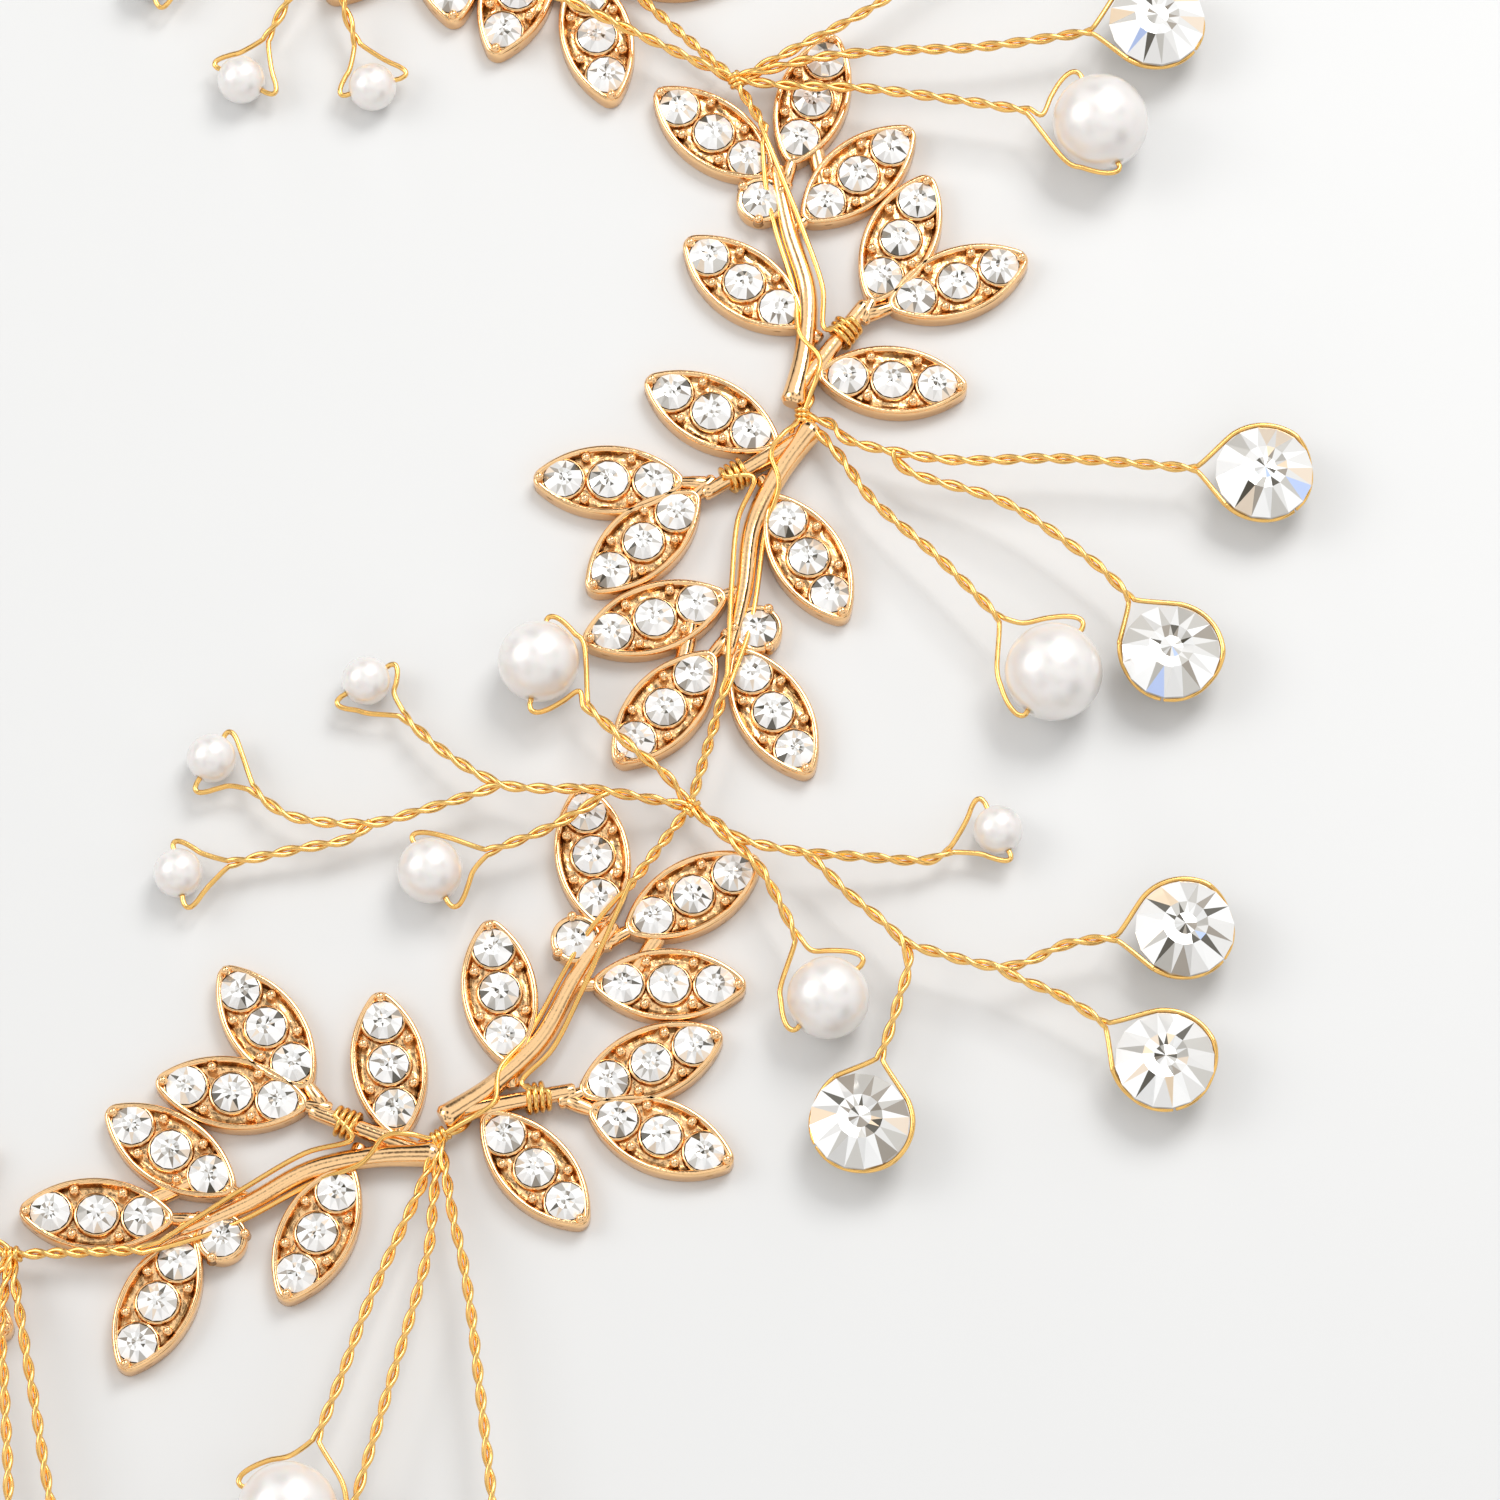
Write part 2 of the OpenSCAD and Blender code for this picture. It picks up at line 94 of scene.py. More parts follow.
softbox("key_softbox", right=0.22, up=0.34, height=0.50, size=0.30, power=2.0)
softbox("fill_softbox", right=-0.45, up=0.10, height=0.40, size=0.30, power=0.8)


MM = 1000  # millimetres in a metre
MIX_A, MIX_B, MIX_RESULT = 6, 7, 2  # the colour sockets of a Mix node


class Shade:
    """A socket of a material's nodes. Maths on it adds Math nodes, and node() adds any other."""

    def __init__(self, tree, socket=None):
        self.tree = tree
        self.socket = socket

    def put(self, target, value):
        if isinstance(value, Shade):
            self.tree.links.new(value.socket, target)
        elif target.type == "RGBA" and len(value) == 3:
            target.default_value = (*value, 1)
        else:
            target.default_value = value

    def node(self, kind, settings, inputs, output=0):
        made = self.tree.nodes.new(kind)
        for name, value in settings.items():
            if name == "stops":
                ramp = made.color_ramp.elements
                while len(ramp) < len(value):
                    ramp.new(1)
                for stop, (place, colour) in zip(ramp, value):
                    stop.position = place
                    stop.color = (*colour, 1)
            else:
                setattr(made, name, value)
        for name, value in inputs.items():
            self.put(made.inputs[name], value)
        return Shade(self.tree, made.outputs[output])

    def maths(self, operation, a, b):
        return self.node("ShaderNodeMath", {"operation": operation}, {0: a, 1: b})

    def __add__(self, other):
        return self.maths("ADD", self, other)

    __radd__ = __add__

    def __mul__(self, other):
        return self.maths("MULTIPLY", self, other)

    __rmul__ = __mul__

    def noise(self, scale, detail=2):
        """Even noise in the piece's own space, with scale in grains per millimetre."""
        place = self.node("ShaderNodeTexCoord", {}, {}, "Object")
        sizes = {"Vector": place, "Scale": scale * MM, "Detail": detail}
        return self.node("ShaderNodeTexNoise", {}, sizes, "Fac")

    def blended(self, share, first, second):
        """From colour first to colour second, as share goes from 0 to 1."""
        mix = {"Factor": share, MIX_A: first, MIX_B: second}
        return self.node("ShaderNodeMix", {"data_type": "RGBA"}, mix, MIX_RESULT)

    def bumps(self, height, depth, strength):
        """A surface normal for bumps of that height map, depth millimetres deep."""
        sizes = {"Height": height, "Distance": depth / MM, "Strength": strength}
        return self.node("ShaderNodeBump", {}, sizes)


def material(name, fixed):
    """A new material with fixed values on its surface, the start of its maths, and its surface."""
    made = bpy.data.materials.new(name)
    made.use_nodes = True
    surface = made.node_tree.nodes["Principled BSDF"]
    for socket, value in fixed.items():
        surface.inputs[socket].default_value = value
    return made, Shade(made.node_tree), surface


PANEL_SCALE = 2.2
PANEL_RISE = 0.04
WALL_STOPS = [
    (0.34, (0.05, 0.045, 0.04)), (0.44, (0.32, 0.31, 0.30)),
    (0.50, (0.82, 0.82, 0.83)), (0.60, (1.3, 1.3, 1.3)),
]
ROOM_LIGHT = 0.80

world = bpy.data.worlds.new("studio")
world.use_nodes = True
scene.world = world
walls = Shade(world.node_tree)
up_down = walls.node("ShaderNodeTexCoord", {}, {}, "Generated")
height = walls.node("ShaderNodeSeparateXYZ", {}, {"Vector": up_down}, "Z")
panel_sizes = {"Vector": up_down, "Scale": PANEL_SCALE, "Detail": 0}
panels = walls.node("ShaderNodeTexNoise", {}, panel_sizes, "Fac")
wall_colour = walls.node("ShaderNodeValToRGB", {"stops": WALL_STOPS},
                         {"Fac": panels + height * PANEL_RISE})
background = world.node_tree.nodes["Background"]
walls.put(background.inputs["Color"], wall_colour)
background.inputs["Strength"].default_value = ROOM_LIGHT

TABLE_SIZE = 3.0
TABLE_DULL, TABLE_CLEAN = (0.70, 0.70, 0.69), (0.735, 0.735, 0.73)
TABLE_GRAIN = 0.004
bpy.ops.mesh.primitive_plane_add(size=TABLE_SIZE, location=(0, 0, 0))
table = bpy.context.object
table.name = "table"
table_white, shade, surface = material("table_white", {"Roughness": 0.45})
shade.put(surface.inputs["Base Color"],
          shade.blended(shade.noise(TABLE_GRAIN, 1), TABLE_DULL, TABLE_CLEAN))
table.data.materials.append(table_white)

# Leaf sprays ------------------------------------------------------------------
# Eight identical castings of white metal, plated pale gold: seven pointed leaves
# and a round cup on one forked stem. Rims, collars round the stones and bead
# prongs stand up from a grained floor, as the mould left them.

LEAF_L, LEAF_W, LEAF_H = 9.9, 4.6, 1.3
RIM = 0.36
FLOOR_DEPTH = 0.42
STONE_PITCH = 2.8
STONE_R = 1.2
CUP_R = 1.55
PRONG_R = 0.31
ROD_Z = 1.0
LEAVES = [
    # middle and the way the point looks, from the stem's cut end
    (1, -6.2, -99), (7.38, -10.68, -72), (10.5, -7.3, -26.6), (8.1, 2.6, 48),
    (15, -4.95, -51), (20.3, -2.4, -20.4), (18.35, 3.9, 48),
]
CUP = (13.6, 1.2)
STEM = [(0, 0), (3.25, -0.9), (7.3, -1.3), (11.5, -0.4), (15.7, 0.1)]
STEM_R = [0.8, 0.66, 0.6, 0.57, 0.5]
BRANCH = [(1.0, -0.5), (1.6, -1.1), (3.9, -2.95), (6.2, -4.8)]
BRIDGE = [(14.2, -2.8), (15.6, -2.6), (17.0, -2.4)]
BRIDGE_Z = 0.65
BRANCH_R = (0.62, 0.48)
BRIDGE_R = (0.55, 0.55)
STALK_R = 0.47
SPRAY_AT = [
    # junction, direction (1 is counterclockwise), start outwards, start along, turn
    (0, 1, -0.6, 0.95, 8), (0, -1, 0.65, -1.1, -23),
    (2, 1, -0.55, 0.95, 2), (2, -1, 0.55, -0.95, -20.7),
    (4, 1, -0.77, 0.91, 15.3), (4, -1, 0.77, -0.91, -17.6),
    (6, 1, -0.6, 0.95, 14), (6, -1, 0.6, -0.95, -15),
]
SPRAYS = len(SPRAY_AT)
ENDS = (0, SPRAYS - 1)
joints = {joint["name"]: joint for joint in frame["joints"]}


def turned(angle):
    """A turn about Z, in degrees."""
    return Matrix.Rotation(math.radians(angle), 4, "Z")


def junction_place(k):
    """The frame of junction k in millimetres: +X outwards, +Y counterclockwise, at floor level."""
    joint = joints[f"fold_{k + 1}"]
    x, y, _ = joint["pos_m"]
    outwards = Vector(joint["axis"])
    if outwards.dot((x, y, 0)) < 0:
        outwards = -outwards
    angle = math.degrees(math.atan2(outwards.y, outwards.x))
    return Matrix.Translation((x * MM, y * MM, 0)) @ turned(angle)


def spray_place(s):
    """The frame of spray s in millimetres: its stem runs along +X from the origin."""
    k, direction, outwards, along, turn = SPRAY_AT[s]
    start = Matrix.Translation((outwards, along, 0))
    return junction_place(k) @ start @ turned(90 * direction + turn)


class Shell:
    """The faces of one piece, gathered in millimetres. Its material reads each face's mark."""

    def __init__(self):
        self.points = []
        self.faces = []
        self.marks = []

    def add(self, points, faces, marks, place):
        """More points and faces, each face with its mark: a number, or a colour of three."""
        first = len(self.points)
        self.points += [place @ Vector(p) for p in points]
        self.faces += [[first + i for i in face] for face in faces]
        self.marks += [m if isinstance(m, tuple) else (m, m, m) for m in marks]

    def skin(self, rings, mark=0.0, place=Matrix.Identity(4), start=True, end=True):
        """A skin through rings of points, with its ends closed unless start or end says not.

        The mark is one for all of it, or a list with one for each band between two rings.
        """
        n = len(rings[0])
        bands = mark if isinstance(mark, list) else [mark] * (len(rings) - 1)
        marks = [band for band in bands for _ in range(n)]
        points = [p for ring in rings for p in ring]
        faces = []
        for i in range(len(rings) - 1):
            for j in range(n):
                k = (j + 1) % n
                faces.append((i * n + j, i * n + k, (i + 1) * n + k, (i + 1) * n + j))
        if start:
            points.append(sum((Vector(p) for p in rings[0]), Vector()) / n)
            faces += [((j + 1) % n, j, len(points) - 1) for j in range(n)]
            marks += [bands[0]] * n
        if end:
            points.append(sum((Vector(p) for p in rings[-1]), Vector()) / n)
            last = (len(rings) - 1) * n
            faces += [(last + j, last + (j + 1) % n, len(points) - 1) for j in range(n)]
            marks += [bands[-1]] * n
        self.add(points, faces, marks, place)

    def lathe(self, profile, sides, mark=0.0, place=Matrix.Identity(4), start=True, end=True):
        """A skin through circles about Z, from a profile of (radius, height)."""
        turns = [2 * math.pi * j / sides for j in range(sides)]
        rings = [[(r * math.cos(a), r * math.sin(a), z) for a in turns] for r, z in profile]
        self.skin(rings, mark, place, start, end)

    def ball(self, centre, r, sides, mark, place):
        """A ball of that many sides, with half as many bands."""
        bands = sides // 2
        arc = [math.pi * (i + 0.5) / bands - math.pi / 2 for i in range(bands)]
        profile = [(r * math.cos(a), r * math.sin(a)) for a in arc]
        self.lathe(profile, sides, mark, place @ Matrix.Translation(centre))

    def mesh(self, name, made_of, rounded=True, sharp=None):
        """The gathered faces as a mesh in metres, creased where they meet at over sharp degrees."""
        data = bpy.data.meshes.new(name)
        data.from_pydata([p / MM for p in self.points], [], self.faces)
        marks = data.attributes.new("mark", "FLOAT_COLOR", "FACE")
        marks.data.foreach_set("color", [c for m in self.marks for c in (*m, 1.0)])
        data.polygons.foreach_set("use_smooth", [rounded] * len(self.faces))
        if sharp:
            data.set_sharp_from_angle(angle=math.radians(sharp))
        data.materials.append(made_of)
        data.update()
        return data


def show(data, name, body, stands_for, place):
    """Puts a mesh in the scene as one piece, riding on its body in place of a CAD node."""
    piece = bpy.data.objects.new(name, data)
    scene.collection.objects.link(piece)
    metres = place.copy()
    metres.translation = place.translation / MM
    piece.matrix_world = metres
    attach(piece, body)
    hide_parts(stands_for)


def smooth(route, steps):
    """A Catmull-Rom curve through the points of a route."""
    points = [Vector(p) for p in route]
    curve = []
    for i in range(len(points) - 1):
        a = points[max(i - 1, 0)]
        b, c = points[i], points[i + 1]
        d = points[min(i + 2, len(points) - 1)]
        for j in range(steps):
            u = j / steps
            curve.append(b + 0.5 * u * (c - a) + u * u * (a - 2.5 * b + 2 * c - 0.5 * d)
                         + u ** 3 * (1.5 * (b - c) + 0.5 * (d - a)))
    return curve + [points[-1]]


STEEP = 0.9


def crossways(route):
    """At each point of a route, two directions across it, carried on without twist."""
    last = len(route) - 1
    headings = [(route[min(i + 1, last)] - route[max(i - 1, 0)]).normalized()
                for i in range(last + 1)]
    up = Vector((0, 0, 1)) if abs(headings[0].z) < STEEP else Vector((1, 0, 0))
    across = []
    for heading in headings:
        up = (up - heading * up.dot(heading)).normalized()
        across.append((up, heading.cross(up)))
    return across


END_OUT, END_WIDTH = 0.3, 0.75  # shares of the radius: how far an end stands out, how wide it is


def rod(shell, route, radii, sides):
    """A round rod along a route, with rounded ends."""
    across = crossways(route)
    turns = [2 * math.pi * j / sides for j in range(sides)]

    def ring(point, i, r):
        up, side = across[i]
        return [point + r * (math.cos(a) * up + math.sin(a) * side) for a in turns]

    rings = [ring(p, i, r) for i, (p, r) in enumerate(zip(route, radii))]
    back = (route[0] - route[1]).normalized() * radii[0]
    on = (route[-1] - route[-2]).normalized() * radii[-1]
    rings.insert(0, ring(route[0] + END_OUT * back, 0, END_WIDTH * radii[0]))
    rings.append(ring(route[-1] + END_OUT * on, -1, END_WIDTH * radii[-1]))
    shell.skin(rings)


LEAF_ARC_R = (LEAF_L ** 2 + LEAF_W ** 2) / (4 * LEAF_W)
ARC_CENTRE_Y = LEAF_ARC_R - LEAF_W / 2
ARC_POINTS = 36
CAP_POINTS = 6
POINT_R = 0.8
LEAST_R = 0.01
FLOOR_Z = LEAF_H - FLOOR_DEPTH
FLOOR_RINGS = 14
FLOOR_STEP = 0.13
GRAIN = 0.045
LIP = 0.06
LIP_FOOT = LEAF_H - 0.2
# Marks that sink into the casting paint shade into its colour, with some tarnish: crevices darkest,
# then sunk floors, then walls.
RAISED, WALL, FLOOR, CREVICE = 0.0, 0.3, 0.5, 1.0  # marks, from polished to darkest
LEAF_EDGE = [
    # inset and height, from the flat back up the side wall and over the rim
    (1.2, 0.0), (0.12, 0.0), (0.03, 0.05), (0.0, 0.16), (0.02, 0.7),
    (0.0, LEAF_H - 0.2), (0.04, LEAF_H - 0.07), (0.12, LEAF_H),
    (RIM - 0.1, LEAF_H), (RIM, LEAF_H - LIP), (RIM + LIP, LIP_FOOT),
]
EDGE_MARKS = [WALL] * 4 + [RAISED] * (len(LEAF_EDGE) - 5)
FLOOR_MARKS = [CREVICE] * 2 + [FLOOR] * (FLOOR_RINGS - 3)


def leaf_ring(inset, z, grain=None):
    """The leaf's outline set in by that much, at height z, roughened where it has a grain."""
    r = LEAF_ARC_R - max(inset, POINT_R)
    tip = math.acos(ARC_CENTRE_Y / r)
    out = max(POINT_R - inset, LEAST_R)
    ring = []
    for side in (1, -1):
        for j in range(ARC_POINTS):
            a = tip * (1 - 2 * j / (ARC_POINTS - 1))
            x, y = (r + out) * math.sin(a), (r + out) * math.cos(a) - ARC_CENTRE_Y
            ring.append((side * x, side * y))
        for j in range(1, CAP_POINTS):
            a = -tip - (math.pi - 2 * tip) * j / CAP_POINTS
            x, y = r * math.sin(-tip) + out * math.sin(a), out * math.cos(a)
            ring.append((side * x, side * y))
    return [(x, y, z + (grain.uniform(-GRAIN, GRAIN) if grain else 0)) for x, y in ring]


def leaf(shell, place, grain):
    """A leaf's back, wall and rim, and its sunk floor with the grain of the mould."""
    shell.skin([leaf_ring(inset, z) for inset, z in LEAF_EDGE], EDGE_MARKS, place, end=False)
    insets = [RIM + LIP + FLOOR_STEP * i for i in range(FLOOR_RINGS)]
    sunk = [leaf_ring(insets[0], LIP_FOOT)]
    sunk += [leaf_ring(inset, FLOOR_Z, grain) for inset in insets[1:]]
    shell.skin(sunk, FLOOR_MARKS, place, start=False)


ROUND = 36
COLLAR = [
    # radius and height, up the outside of a stone's collar and down into its seat
    (STONE_R + 0.26, FLOOR_Z - 0.1), (STONE_R + 0.19, LEAF_H - 0.2),
    (STONE_R + 0.13, LEAF_H - 0.1), (STONE_R + 0.05, LEAF_H - 0.08),
    (STONE_R + 0.01, LEAF_H - 0.14), (STONE_R - 0.02, FLOOR_Z - 0.3),
]
COLLAR_MARKS = [CREVICE, RAISED, RAISED, RAISED, CREVICE]
CUP_WALL = [
    (CUP_R - 0.15, 0), (CUP_R - 0.03, 0.06), (CUP_R, 0.2), (CUP_R, LEAF_H - 0.15),
    (CUP_R - 0.06, LEAF_H - 0.03), (CUP_R - 0.16, LEAF_H),
    (STONE_R + 0.04, LEAF_H - 0.04), (STONE_R - 0.02, 0.4),
]
PRONG_FOOT = [(PRONG_R + 0.05, FLOOR_Z - 0.1), (PRONG_R - 0.02, LEAF_H)]
PRONG_Z = LEAF_H + 0.08
FOOT_SIDES, BEAD_SIDES = 10, 12
LEAF_PRONGS = [(-1.42, 1.36), (1.42, 1.36), (-1.42, -1.36), (1.42, -1.36), (4.22, 0)]
CUP_PRONG_OUT = 1.42
CUP_PRONG_ANGLES = (50, 170, 290)
PRONG_STRAY = 0.05
STALK = [(-1.0, 1.0), (-0.3, 1.0), (0.3, 0.9), (0.8, 0.7)]  # run past the leaf's root, thickness
STALK_Z = ROD_Z - 0.1


def prong(shell, x, y, place):
    """A bead prong on a foot that stands in the floor."""
    at = Matrix.Translation((x, y, 0))
    shell.lathe(PRONG_FOOT, FOOT_SIDES, CREVICE, place @ at, start=False, end=False)
    shell.ball((x, y, PRONG_Z), PRONG_R, BEAD_SIDES, RAISED, place)


casting = Shell()
grain = random.Random(7)
for x, y, angle in LEAVES:
    place = Matrix.Translation((x, y, 0)) @ turned(angle)
    leaf(casting, place, grain)
    for n in (-1, 0, 1):
        casting.lathe(COLLAR, ROUND, COLLAR_MARKS,
                      place @ Matrix.Translation((n * STONE_PITCH, 0, 0)), start=False, end=False)
    for x, y in LEAF_PRONGS:
        stray_x = grain.uniform(-PRONG_STRAY, PRONG_STRAY)
        stray_y = grain.uniform(-PRONG_STRAY, PRONG_STRAY)
        prong(casting, x + stray_x, y + stray_y, place)
    stalk = [place @ Vector((-LEAF_L / 2 + run, 0, STALK_Z)) for run, _ in STALK]
    rod(casting, stalk, [STALK_R * share for _, share in STALK], sides=14)
cup_place = Matrix.Translation((*CUP, 0))
casting.lathe(CUP_WALL, ROUND, RAISED, cup_place)
for angle in CUP_PRONG_ANGLES:
    prong(casting, CUP_PRONG_OUT, 0, cup_place @ turned(angle))
stem_route = smooth([(x, y, ROD_Z) for x, y in STEM], steps=6)
stem_radii = np.interp(np.linspace(0, len(STEM) - 1, len(stem_route)), range(len(STEM)), STEM_R)
rod(casting, stem_route, stem_radii.tolist(), sides=20)
for route, z, start_r, end_r in ((BRANCH, ROD_Z, *BRANCH_R), (BRIDGE, BRIDGE_Z, *BRIDGE_R)):
    curve = smooth([(x, y, z) for x, y in route], steps=5)
    rod(casting, curve, np.linspace(start_r, end_r, len(curve)).tolist(), sides=16)

# The plating's colour, from bright polished rims to the dark brown of painted shade and tarnish in
# the crevices.
PLATING_AND_SHADE_STOPS = [
    (0.0, (0.98, 0.63, 0.32)), (0.40, (0.94, 0.58, 0.28)),
    (0.58, (0.74, 0.42, 0.17)), (0.86, (0.24, 0.12, 0.04)),
]
EVEN_SHADE_AND_TARNISH, PATCHY_SHADE_AND_TARNISH = 0.25, 0.9
POLISHED, PATCHY, DULLED = 0.09, 0.08, 0.12  # roughness, and what patches and hollows add
DENTS_TO_PITS = 2.0
PITTED_RAISED, PITTED_SUNK = 0.2, 0.8

plated, shade, surface = material("plated_casting", {"Metallic": 1.0})
mark = shade.node("ShaderNodeAttribute", {"attribute_name": "mark"}, {}, "Fac")
patches = shade.noise(0.8)
pits = shade.noise(4.0, 3)
dents = shade.noise(1.0)
# Painted shade and tarnish: darker with each face's mark, evenly and in patches.
shade_and_tarnish = mark * EVEN_SHADE_AND_TARNISH + mark * patches * PATCHY_SHADE_AND_TARNISH
relief = (pits + dents * DENTS_TO_PITS) * (mark * PITTED_SUNK + PITTED_RAISED)
plating_with_painted_shade = shade.node("ShaderNodeValToRGB", {"stops": PLATING_AND_SHADE_STOPS}, {"Fac": shade_and_tarnish})
shade.put(surface.inputs["Base Color"], plating_with_painted_shade)
shade.put(surface.inputs["Roughness"], POLISHED + patches * PATCHY + mark * DULLED)
shade.put(surface.inputs["Normal"], shade.bumps(relief, depth=0.07, strength=0.5))

casting_mesh = casting.mesh("leaf_spray", plated, sharp=50)
for s in range(SPRAYS):
    show(casting_mesh, f"leaf_spray_{s + 1}", f"spray_{s + 1}", f"spray_{s + 1}",
         spray_place(s))

# Rhinestones ------------------------------------------------------------------
# Twenty-two machine-cut glass chatons to a spray, 2.4 mm across with foiled backs,
# dropped into the collars and held by the prongs. Each facet's colour is a painted
# reflection of the foil: bright, grey or nearly black, and on some a painted warm reflection of the
# metal.

# Painted reflections for the facets: of the foil, the room and the gold round the stone.
PAINTED_FACET_REFLECTIONS = [(0.97, 0.97, 0.96), (0.80, 0.79, 0.77), (0.58, 0.56, 0.52), (0.34, 0.30, 0.25),
         (0.84, 0.71, 0.57), (0.09, 0.08, 0.06)]
PAINTED_GIRDLE_REFLECTION = (0.46, 0.43, 0.37)
RHINESTONE_CUT = {
    "r": STONE_R, "bottom_z": 0.3, "girdle_z": 1.15, "girdle_h": 0.08, "table_z": 1.6,
    "table_share": 0.48, "sides": 13, "facet_reflections": PAINTED_FACET_REFLECTIONS,
    "crown_odds": [56, 17, 11, 6, 7, 3], "star_odds": [44, 18, 16, 12, 4, 6],
}
BOTTOM_R = 0.02
STAR_SHARE = 0.5  # of the table's radius, where the star's facets break
STAR_DIP = 0.06  # of the table's radius, how far they sink there
GLASS_POLISH, GLASS_SMEARS = 0.05, 0.06


def cut_stone(shell, place, rng, r, bottom_z, girdle_z, girdle_h, table_z, table_share, sides,
              facet_reflections, crown_odds, star_odds):
    """A round stone: pavilion, girdle, a row of long crown facets and a starred table, each facet
    coloured with a painted reflection.
    """
    table_r = r * table_share
    rings = [
        (BOTTOM_R, bottom_z, 0), (r, girdle_z, 0), (r, girdle_z + girdle_h, 0),
        (table_r, table_z, 0.5), (STAR_SHARE * table_r, table_z - STAR_DIP * table_r, 0),
    ]
    points = []
    for radius, z, shift in rings:
        for j in range(sides):
            a = 2 * math.pi * (j + shift) / sides
            points.append((radius * math.cos(a), radius * math.sin(a), z))
    points.append((0, 0, table_z))
    faces = []
    for i, (low, high) in enumerate(zip(rings, rings[1:])):
        for j in range(sides):
            k = (j + 1) % sides
            a, b, c, d = i * sides + j, i * sides + k, (i + 1) * sides + k, (i + 1) * sides + j
            if high[2] > low[2]:
                faces += [(a, b, d), (b, c, d)]
            elif high[2] < low[2]:
                faces += [(a, c, d), (a, b, c)]
            else:
                faces.append((a, b, c, d))
    last = (len(rings) - 1) * sides
    # Painted reflections: grey-brown on the pavilion and girdle, drawn at random for crown and star
    # facets.
    marks = [PAINTED_GIRDLE_REFLECTION] * (2 * sides) + rng.choices(facet_reflections, crown_odds, k=2 * sides)
    marks += rng.choices(facet_reflections, star_odds, k=3 * sides)
    faces += [(last + j, last + (j + 1) % sides, len(points) - 1) for j in range(sides)]
    faces.append(tuple(reversed(range(sides))))
    marks.append(facet_reflections[-1])
    shell.add(points, faces, marks, place)


foiled, shade, surface = material("foiled_glass", {
    "Metallic": 0.22, "Coat Weight": 1.0, "Coat Roughness": 0.02,
})
# The base colour is each facet's painted reflection.
painted_reflection = shade.node("ShaderNodeAttribute", {"attribute_name": "mark"}, {}, "Color")
shade.put(surface.inputs["Base Color"], painted_reflection)
shade.put(surface.inputs["Roughness"], GLASS_POLISH + shade.noise(2.0) * GLASS_SMEARS)

for s in range(SPRAYS):
    stones = Shell()
    facets = random.Random(100 + s)
    seats = [Matrix.Translation((x, y, 0)) @ turned(angle)
             @ Matrix.Translation((n * STONE_PITCH, 0, 0))
             for x, y, angle in LEAVES for n in (-1, 0, 1)] + [cup_place]
    for seat in seats:
        spin = turned(facets.uniform(0, 360))
        cut_stone(stones, seat @ spin, facets, **RHINESTONE_CUT)
    show(stones.mesh(f"rhinestones_{s + 1}", foiled, rounded=False), f"rhinestone_set_{s + 1}",
         f"spray_{s + 1}", f"rhinestones_{s + 1}", spray_place(s))

# Binding wires and links ------------------------------------------------------
# Two strands of soft gold wire tie each spray into the vine. Both start in the knot at
# the stem's end. One wraps the side branch, both run along the stem to the fork of the
# last two leaves, and there they twist into the link to the knot at the spray's tip.

STRAND_R = 0.165
STRAND_SIDES = 9
TWIST_OFFSET = 0.185
TWIST_PITCH = 3.4
TWIST_STEP = 0.17
LINK_PITCH = 2.6
KNOT_Z = [1.0, 1.5]
COIL_STEPS = 16
COIL_TURNS = 3.5
COIL_PITCH = 0.40
COIL_FROM = 3.15
COIL_R = 0.65 + STRAND_R
BRANCH_AXIS = (Vector((1.5, -1, ROD_Z)), Vector((6.2, -4.8, ROD_Z)))
UNDER_STEM = [(0.0, -1.15, 0.85), (0.8, -1.12, 0.4), (1.6, -0.95, 0.19), (2.9, -1.8, 0.19)]
COIL_TO_FORK = [
    (4.5, -2.2, 1.6), (7.4, -2.25, 1.5), (11.3, -1.25, 1.62), (14.6, -0.25, 1.72),
    (17.2, 0.55, 1.75),
]
KNOT_TO_FORK = [
    (0.1, -1.0, 1.35), (1.2, -1.5, 1.75), (2.6, -1.75, 1.72), (4.4, -0.62, 1.5),
    (7.4, -0.48, 1.1), (11.5, 0.42, 1.1), (14.2, 0.85, 1.45), (17.2, 0.9, 1.6),
]
FORK = Vector((18.3, 0.75, 1.85))
SWIVEL = Vector((23, 2, 1.2))


def evenly(route, step):
    """Points an even step apart along a route."""
    line = np.array([tuple(p) for p in route])
    run = np.concatenate([[0], np.cumsum(np.linalg.norm(np.diff(line, axis=0), axis=1))])
    stops = np.linspace(0, run[-1], max(3, round(run[-1] / step) + 1))
    return [Vector(p) for p in zip(*(np.interp(stops, run, line[:, i]) for i in range(3)))]


def strand(shell, route):
    """One bare wire along a route."""
    rod(shell, route, [STRAND_R] * len(route), STRAND_SIDES)


def twisted(route, pitch, end_side):
    """The two strands of a wire twisted along a route, the first ending on end_side of it."""
    line = evenly(smooth(route, steps=8), TWIST_STEP)
    across = crossways(line)
    up, side = across[-1]
    lead = math.atan2(end_side.dot(side), end_side.dot(up))
    pair = [[], []]
    for i, (point, (up, side)) in enumerate(zip(line, across)):
        a = lead + 2 * math.pi * (i - len(line) + 1) * TWIST_STEP / pitch
        offset = TWIST_OFFSET * (math.cos(a) * up + math.sin(a) * side)
        pair[0].append(point + offset)
        pair[1].append(point - offset)
    return pair


def onwards(line, turns):
    """A strand's line carried on through more points, the way its last few points lead."""
    steps = 7
    return line + smooth([line[-6], line[-1], *turns], steps)[steps + 1:]


def knot_centre(k):
    """The middle of the knot at junction k, a little higher where two links meet."""
    return junction_place(k) @ Vector((0, 0, KNOT_Z[k % 2]))


